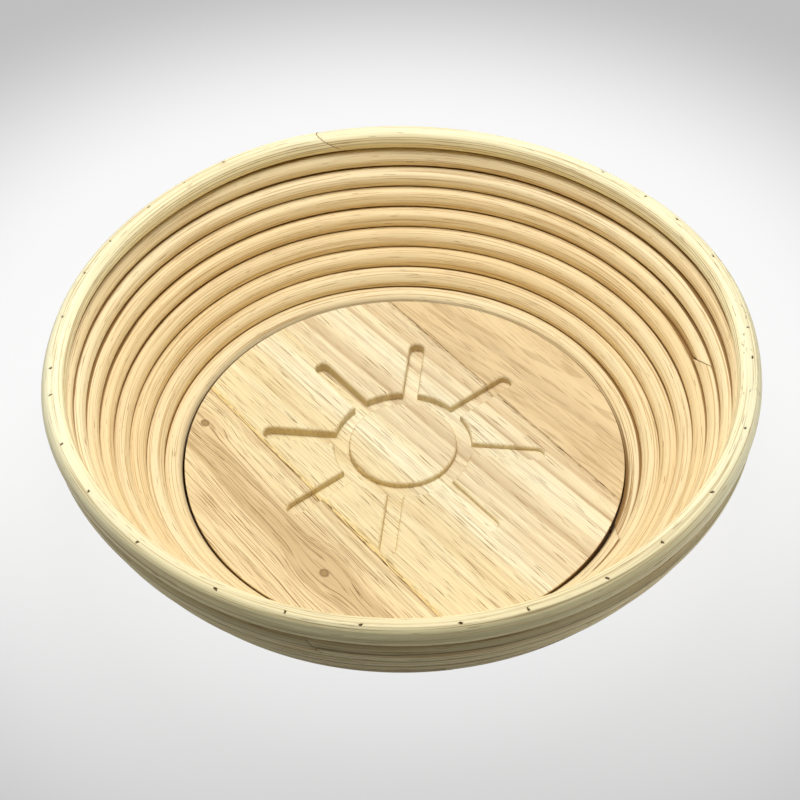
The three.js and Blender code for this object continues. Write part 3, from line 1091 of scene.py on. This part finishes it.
def milled(bm):
    """The stave after every cutter has passed, as a new bmesh."""
    blank = as_object(bm, "stave")
    scene.collection.objects.link(blank)
    for cutter in cutters:
        scene.collection.objects.link(cutter)
        cut = blank.modifiers.new("mill", "BOOLEAN")
        cut.operation = "DIFFERENCE"
        cut.solver = "EXACT"
        cut.object = cutter
    result = bmesh.new()
    result.from_object(blank, bpy.context.evaluated_depsgraph_get())
    for cutter in cutters:
        scene.collection.objects.unlink(cutter)
    bpy.data.objects.remove(blank)
    return result


def in_order(bm):
    bm.verts.sort(key=lambda vert: vert.co.dot(ORDER))
    bm.edges.sort(key=lambda edge: (edge.verts[0].co + edge.verts[1].co).dot(ORDER))
    bm.faces.sort(key=lambda face: face.calc_center_median().dot(ORDER))


def on_rim(edge):
    """Whether an edge is one of the two that run round the board's outside."""
    start, end = [vert.co for vert in edge.verts]
    outside = all((co - board_centre).xy.length > board_radius - EDGE_BAND for co in (start, end))
    turns = len(edge.link_faces) == 2 and edge.calc_face_angle() > EDGE_ANGLE
    return outside and turns and abs(start.z - end.z) < EDGE_BAND


def break_edges(bm):
    in_order(bm)
    bmesh.ops.remove_doubles(bm, verts=bm.verts[:], dist=CLOSE)
    bmesh.ops.dissolve_limit(bm, angle_limit=FLAT_ANGLE, verts=bm.verts[:], edges=bm.edges[:])
    soften(bm, [edge for edge in bm.edges if on_rim(edge)], EDGE_ROUND, 3)
    return bm


print("edges: rounded by", round(EDGE_ROUND / MM, 2), "mm")

# %% [markdown]
# ## Wood
# The staves look like rubberwood: pale, with broad bands and short dark pores. A stave sawn near the heart shows
# arches, because the saw cuts through the cone of each year's ring, and one sawn further out shows straight
# lines. Both follow from one sum: the distance of a point from the heart, plus a slow taper along the log. Noise
# in that distance draws rings of uneven width, which a wave would make too regular.

# %% Group for wood figure
GRAIN_DRIFT = 0.045
SLOW_SWAY, QUICK_SWAY = (9, 38, 38), (70, 220, 220)
QUICK_SHARE = 0.09
WOOD_FIBRES, PORES, MOTTLES = (22, 1500, 1500), (60, 2300, 2300), (30, 60, 60)
FIGURE = ("Heart", "Depth", "Taper", "Wander", "Bands", "Rings")


def years(tree, reach, count):
    rings = {"W": times(tree, reach, count), "Scale": 1.0, "Detail": 3.0, "Roughness": 0.6}
    return add(tree, "ShaderNodeTexNoise", rings, noise_dimensions="1D").outputs[0]


def wood_figure_group():
    tree, given = new_group("wood_figure", {"Grain": VECTOR, **dict.fromkeys(FIGURE, FLOAT)})
    grain = given["Grain"]
    parts = split(tree, grain)
    slow, quick = [minus(tree, stretched_noise(tree, grain, sway, 2), 0.5) for sway in (SLOW_SWAY, QUICK_SWAY)]
    sway = plus(tree, slow, times(tree, quick, QUICK_SHARE))
    drift = minus(tree, parts["Y"], times(tree, parts["X"], GRAIN_DRIFT))
    swayed = plus(tree, drift, times(tree, sway, given["Wander"]))
    across = minus(tree, swayed, given["Heart"])
    deep = plus(tree, parts["Z"], given["Depth"])
    squares = plus(tree, maths(tree, "POWER", across, 2), maths(tree, "POWER", deep, 2))
    reach = plus(tree, maths(tree, "SQRT", squares), times(tree, parts["X"], given["Taper"]))
    return put_out(tree, {
        "Across": swayed,
        "Band": years(tree, reach, given["Bands"]),
        "Ring": years(tree, reach, given["Rings"]),
        "Fibre": stretched_noise(tree, grain, WOOD_FIBRES, 3, 0.6),
        "Pore": mask(tree, stretched_noise(tree, grain, PORES, 1), 0.645, 0.7),
        "Patch": stretched_noise(tree, grain, MOTTLES),
    })


wood_figure = wood_figure_group()

# %% [markdown]
# ## Knots, glue and painted shade on the wood
# Knots push the rings aside, and glue that soaked into the wood left a yellow streak with dark specks along the
# first joint. The sides of the sun are rougher than its face and greyer, and are also painted darker as the shade
# in the milled grooves. The board's outside is rougher and darker, and is painted dark brown as the shade in the
# gap beside the lowest hoop. Each of these is a mask from the board's own coordinates, with X along the grain
# and Y across it.

# %% Masks on the board
KNOTS = (Vector((-59.1, -50.3)) * MM, Vector((26.8, -57.8)) * MM)
KNOT_RADIUS = 1.5 * MM
KNOT_SQUASH = 0.8
KNOT_SWIRL = 14.0 * MM
KNOT_SWIRL_SQUASH = 0.6
KNOT_SPREAD = 0.75
GLUE_GRAIN = (26, 260, 260)
GLUE_UNEVEN = 2.4
OUTER_SIDE = (board_radius - 0.4 * MM, board_radius - 0.1 * MM)
BELOW_TOP = (board_top - 0.2 * MM, board_top - 0.9 * MM)
ABOVE_FLOOR = (0.05 * MM, 0.3 * MM)
BELOW_LIP = (board_top - 0.05 * MM, board_top - 0.6 * MM)
CUTTER_MARKS = (900, 900, 200)


def grain_place(tree):
    place = add(tree, "ShaderNodeTexCoord").outputs["Object"]
    turned = {"Vector": place, "Location": board_centre, "Rotation": (0, 0, GRAIN_TURN)}
    return add(tree, "ShaderNodeMapping", turned, vector_type="TEXTURE").outputs[0]


def knot_mask(tree, grain, knot, low, high, squash=KNOT_SQUASH):
    flat = vectors(tree, "MULTIPLY", grain, (squash, 1, 0))[0]
    away = vectors(tree, "DISTANCE", flat, (squash * knot.x, knot.y, 0))["Value"]
    return mask(tree, away, high, low)


def flow_round(tree, grain, knots):
    """The grain's coordinates, spread apart round each knot so that the lines flow past it."""
    parts = split(tree, grain)
    across = parts["Y"]
    for knot in knots:
        near = times(tree, knot_mask(tree, grain, knot, 0, KNOT_SWIRL, KNOT_SWIRL_SQUASH), KNOT_SPREAD)
        across = minus(tree, across, times(tree, minus(tree, parts["Y"], knot.y), near))
    return add(tree, "ShaderNodeCombineXYZ", {0: parts["X"], 1: across, 2: parts["Z"]}).outputs[0]


def glue_mask(tree, grain, line, reach):
    away = distance(tree, split(tree, grain)["Y"], line)
    uneven = times(tree, stretched_noise(tree, grain, GLUE_GRAIN), GLUE_UNEVEN)
    return mask(tree, away, times(tree, uneven, reach), 0.0)


# painted shade in part: the board's outside is painted dark brown, as the shade in the gap under the lowest hoop
def edge_shade_mask(tree, grain):
    flat = vectors(tree, "MULTIPLY", grain, (1, 1, 0))[0]
    outside = mask(tree, vectors(tree, "LENGTH", flat)["Value"], *OUTER_SIDE)
    return times(tree, outside, mask(tree, split(tree, grain)["Z"], *BELOW_TOP))


# painted shade in part: the sun's sides are given a greyer, darker colour
def milled_shade_mask(tree, grain):
    parts = split(tree, grain)
    middle = (SUN_CENTRE - board_centre).dot(along_grain)
    climb = times(tree, minus(tree, parts["X"], middle), math.tan(SUN_TILT))
    above = mask(tree, minus(tree, minus(tree, parts["Z"], sun_floor), climb), *ABOVE_FLOOR)
    below = mask(tree, parts["Z"], *BELOW_LIP)
    return times(tree, above, below, stretched_noise(tree, grain, CUTTER_MARKS, 2))


print("knots:", len(KNOTS))

# %% [markdown]
# ## The finish of each stave
# No two staves match. The left one is the brownest and has two knots, the next is a plain yellow cream, the
# third has pinkish brown bands, and the last, at the right, has a wavy figure. The sums are the same, so each
# stave is one row of values: where the heart lay, how wide the rings are, its colours, its zones (the place across
# the grain, the reach to both sides, the tone and the strength) and the glue along one of its edges.

# %% Stave materials
STAVE_FINISHES = (
    {"figure": (-0.120, 0.010, 0.03, 0.009, 220, 1900),
     "base": (241, 219, 172), "dark": (195, 167, 119), "fibre": 0.5, "line": 0.75, "pore": 0.9,
     "zones": ((-43.5, 4.5, 4.5, (246, 230, 183), 0.8), (-59, 4, 12, (204, 177, 129), 0.75)),
     "glue": (-38.4, 0.7, (150, 112, 56), 0.7)},
    {"figure": (-0.300, 0.020, 0.00, 0.004, 220, 1100),
     "base": (243, 226, 179), "dark": (216, 190, 140), "fibre": 0.42, "line": 0.35, "pore": 0.9,
     "zones": ((-21, 3.5, 2.5, (248, 235, 193), 0.8), (-17.5, 0.8, 4.5, (227, 205, 157), 0.6),
               (-12.5, 0.8, 3.5, (236, 217, 170), 0.7), (-3, 10, 10, (250, 242, 209), 0.95)),
     "glue": (-38.4, 2.3, (236, 204, 122), 0.65)},
    {"figure": (0.300, 0.050, 0.01, 0.003, 220, 900),
     "base": (244, 229, 189), "dark": (214, 189, 149), "fibre": 0.38, "line": 0.25, "pore": 0.75,
     "zones": ((5.5, 0.5, 3, (215, 193, 151), 0.8), (10.5, 0.5, 3.5, (222, 200, 160), 0.7),
               (16, 0.8, 6.5, (206, 181, 140), 0.9), (28, 6, 8, (247, 239, 205), 0.9),
               (34, 0.5, 3, (203, 178, 137), 0.9), (40.5, 0.9, 6.5, (222, 196, 152), 0.85)),
     "glue": (46.5, 1.6, (196, 164, 118), 0.6)},
    {"figure": (0.078, 0.012, 0.08, 0.014, 130, 600),
     "base": (230, 206, 160), "dark": (194, 166, 121), "fibre": 0.25, "line": 0.3, "pore": 0.65,
     "zones": ((49, 1.5, 1.8, (212, 185, 137), 0.6), (61, 1.2, 7, (213, 188, 144), 0.85),
               (72, 6, 6, (240, 219, 173), 0.5)),
     "glue": (46.5, 0.6, (150, 116, 70), 0.7)},
)
BREAKS, SPECKS = (38, 520, 520), (150, 2000, 2000)
RING_LINE, PORE, SPECK = (152, 114, 64), (134, 92, 38), (104, 72, 30)
KNOT_RING, KNOT_HEART = (132, 102, 58), (174, 144, 92)
# the milled and sawn colours are partly the rough cut and partly painted shade on sides that lie in shade
MILLED_AND_SHADED, SAWN_AND_SHADED = (208, 192, 148), (112, 78, 36)
WOOD_RELIEF = 0.06 * MM


def zone_mask(tree, across, place, near, far):
    away = minus(tree, across, place * MM)
    return times(tree, mask(tree, away, -near * MM, 0.0), mask(tree, away, far * MM, 0.0))


def wood_coats(tree, grain, parts, finish, knots):
    broken = mask(tree, stretched_noise(tree, grain, BREAKS, 2), 0.4, 0.56)
    line = times(tree, mask(tree, parts["Ring"], 0.5, 0.6), broken)
    speck = mask(tree, stretched_noise(tree, grain, SPECKS, 1), 0.55, 0.61)
    place, reach, soaked, strength = finish["glue"]
    glue = glue_mask(tree, grain, place * MM, reach * MM)
    coats = [(zone_mask(tree, parts["Across"], *zone[:3]), zone[4], zone[3]) for zone in finish["zones"]]
    coats += [
        (mask(tree, parts["Band"], 0.46, 0.72), 0.5, finish["dark"]),
        (mask(tree, parts["Patch"], 0.45, 0.75), 0.3, finish["dark"]),
        (mask(tree, parts["Fibre"], 0.5, 0.62), finish["fibre"], finish["dark"]),
        (line, finish["line"], RING_LINE),
        (parts["Pore"], finish["pore"], PORE),
        (glue, strength, soaked),
        (glue, speck, SPECK),
    ]
    for knot in knots:
        coats.append((knot_mask(tree, grain, knot, 0.8 * KNOT_RADIUS, 1.3 * KNOT_RADIUS), 0.85, KNOT_RING))
        coats.append((knot_mask(tree, grain, knot, 0.4 * KNOT_RADIUS, 0.85 * KNOT_RADIUS), 0.8, KNOT_HEART))
    return [*coats, (milled_shade_mask(tree, grain), 1.0, MILLED_AND_SHADED), (edge_shade_mask(tree, grain), 0.9, SAWN_AND_SHADED)]


def stave_material(name, finish, knots):
    material, tree, shader = new_material(name)
    grain = grain_place(tree)
    given = {"Grain": flow_round(tree, grain, knots), **dict(zip(FIGURE, finish["figure"]))}
    parts = add(tree, "ShaderNodeGroup", given, node_tree=wood_figure).outputs
    colour = coated(tree, finish["base"], wood_coats(tree, grain, parts, finish, knots))
    tree.links.new(colour, shader.inputs["Base Color"])
    shader.inputs["Roughness"].default_value = 0.6
    height = minus(tree, times(tree, parts["Fibre"], 0.5), parts["Pore"])
    raise_fibres(tree, shader, height, WOOD_RELIEF, 0.4)
    return material


print("finishes:", len(STAVE_FINISHES))

# %% Staves
for number, (name, finish) in enumerate(zip(stave_names, STAVE_FINISHES)):
    low, high = stave_edges[number] + GLUE / 2, stave_edges[number + 1] - GLUE / 2
    bm = break_edges(milled(stave_blank(low, high)))
    slot, knots = ("knotty_wood", KNOTS) if number == 0 else ("pale_wood", ())
    finish_piece(bm, "milled_" + name, stave_material("wood_" + name, finish, knots), name, CREASE)
for cutter in cutters:
    bpy.data.objects.remove(cutter)

# %% [markdown]
# ## Floor
# The basket stands on a plain pale floor that fades to grey away from it. To the camera and in reflections the
# floor mostly glows by itself, so that the basket's shadow on it stays faint. Right under the basket the floor is
# painted dark brown, a painted shade that keeps the gap beside the board dark. To all other rays the floor at the
# left and the right gives the light that a white table sends up to the basket's outside.

# %% Pale floor
FLOOR_SIZE = 3.0
FLOOR_BOUNCE = (0.47, 0.47, 0.47, 1)
FLOOR_SHADOW = 0.1
FLOOR_MIDDLE = (-0.005, 0.077, 0)
FLOOR_OVAL = (1, 1.12, 0)
FLOOR_FADE = (0.154, 0.317)
FLOOR_NEAR, FLOOR_FAR = (250, 250, 250), (196, 196, 196)
# painted shade: the floor right under the basket is painted dark, so the gap beside the board shows dark
UNDER_SHADE_FADE = (0.084, 0.091)
UNDER_SHADE_COLOUR = (0.05, 0.03, 0.012, 1)
SIDE_LEFT, SIDE_RIGHT = (-0.06, -0.15), (0.05, 0.14)
LEFT_GLOW, RIGHT_GLOW = 0.5, 1.0

bm = bmesh.new()
bmesh.ops.create_grid(bm, x_segments=1, y_segments=1, size=FLOOR_SIZE)
floor = as_object(bm, "floor")
scene.collection.objects.link(floor)

floor_paint, tree, shader = new_material("floor_paint")
tree.nodes.remove(shader)
place = add(tree, "ShaderNodeTexCoord").outputs["Object"]
oval = vectors(tree, "MULTIPLY", vectors(tree, "SUBTRACT", place, FLOOR_MIDDLE)[0], FLOOR_OVAL)[0]
faded = mask(tree, vectors(tree, "LENGTH", oval)["Value"], *FLOOR_FADE)
shown = coated(tree, FLOOR_NEAR, [(faded, 1.0, FLOOR_FAR)])
beside = mask(tree, vectors(tree, "LENGTH", place)["Value"], *UNDER_SHADE_FADE)
rays = add(tree, "ShaderNodeLightPath").outputs
reflected = maths(tree, "MAXIMUM", rays["Is Glossy Ray"], rays["Is Transmission Ray"])
seen = maths(tree, "MAXIMUM", rays["Is Camera Ray"], reflected)
lit = blend(tree, beside, UNDER_SHADE_COLOUR, blend(tree, seen, FLOOR_BOUNCE, shown))
across = split(tree, place)["X"]
left = times(tree, mask(tree, across, *SIDE_LEFT), LEFT_GLOW)
right = times(tree, mask(tree, across, *SIDE_RIGHT), RIGHT_GLOW)
side_glow = times(tree, plus(tree, left, right), minus(tree, 1.0, seen))
paint = add(tree, "ShaderNodeBsdfDiffuse", {"Color": lit}).outputs[0]
glow = add(tree, "ShaderNodeEmission", {"Color": shown}).outputs[0]
glowing = times(tree, seen, beside, 1 - FLOOR_SHADOW)
surface = add(tree, "ShaderNodeMixShader", {0: glowing, 1: paint, 2: glow}).outputs[0]
side_light = add(tree, "ShaderNodeEmission", {"Color": (1, 1, 1, 1), "Strength": side_glow}).outputs[0]
surface = add(tree, "ShaderNodeAddShader", {0: surface, 1: side_light}).outputs[0]
tree.links.new(surface, tree.nodes["Material Output"].inputs["Surface"])
floor.data.materials.append(floor_paint)
print("floor:", FLOOR_SIZE, "m")

# %% [markdown]
# ## Light
# One soft lamp hangs close above the bowl, and a sky that is brighter at the sides and darker in front fills the
# shadows. So the tops of the courses are bright, their undersides are not, and the outside of the front lies in
# the shade.

# %% Lamp and sky
LAMP_PLACE = Vector((-0.01, 0.055, 0.46))
LAMP_SIZE = 0.28
LAMP_POWER = 1.97
SKY = 0.34
SKY_SIDES = 0.9
SKY_SIDES_RISE = (0.6, 0.1)
SKY_FRONT = 0.95
SKY_FRONT_TURN = (0.3, -0.3)

lamp = bpy.data.lights.new("soft_lamp", "AREA")
lamp.shape = "DISK"
lamp.size = LAMP_SIZE
lamp.energy = LAMP_POWER
lamp_object = bpy.data.objects.new("soft_lamp", lamp)
lamp_aim = (-LAMP_PLACE).to_track_quat("-Z", "Y").to_matrix().to_4x4()
lamp_object.matrix_world = Matrix.Translation(LAMP_PLACE) @ lamp_aim
scene.collection.objects.link(lamp_object)

sky = bpy.data.worlds.new("sky")
sky.use_nodes = True
tree = sky.node_tree
way = split(tree, add(tree, "ShaderNodeTexCoord").outputs["Generated"])
sideways = maths(tree, "POWER", maths(tree, "ABSOLUTE", way["X"]), 2)
sides = times(tree, sideways, SKY_SIDES, mask(tree, way["Z"], *SKY_SIDES_RISE))
front = times(tree, mask(tree, way["Y"], *SKY_FRONT_TURN), SKY_FRONT)
level = times(tree, plus(tree, sides, SKY), minus(tree, 1.0, front))
tree.nodes["Background"].inputs["Color"].default_value = (1, 1, 1, 1)
tree.links.new(level, tree.nodes["Background"].inputs["Strength"])
scene.world = sky
scene.view_settings.view_transform = "Standard"
print("lamp:", LAMP_POWER, "W, sky:", SKY)
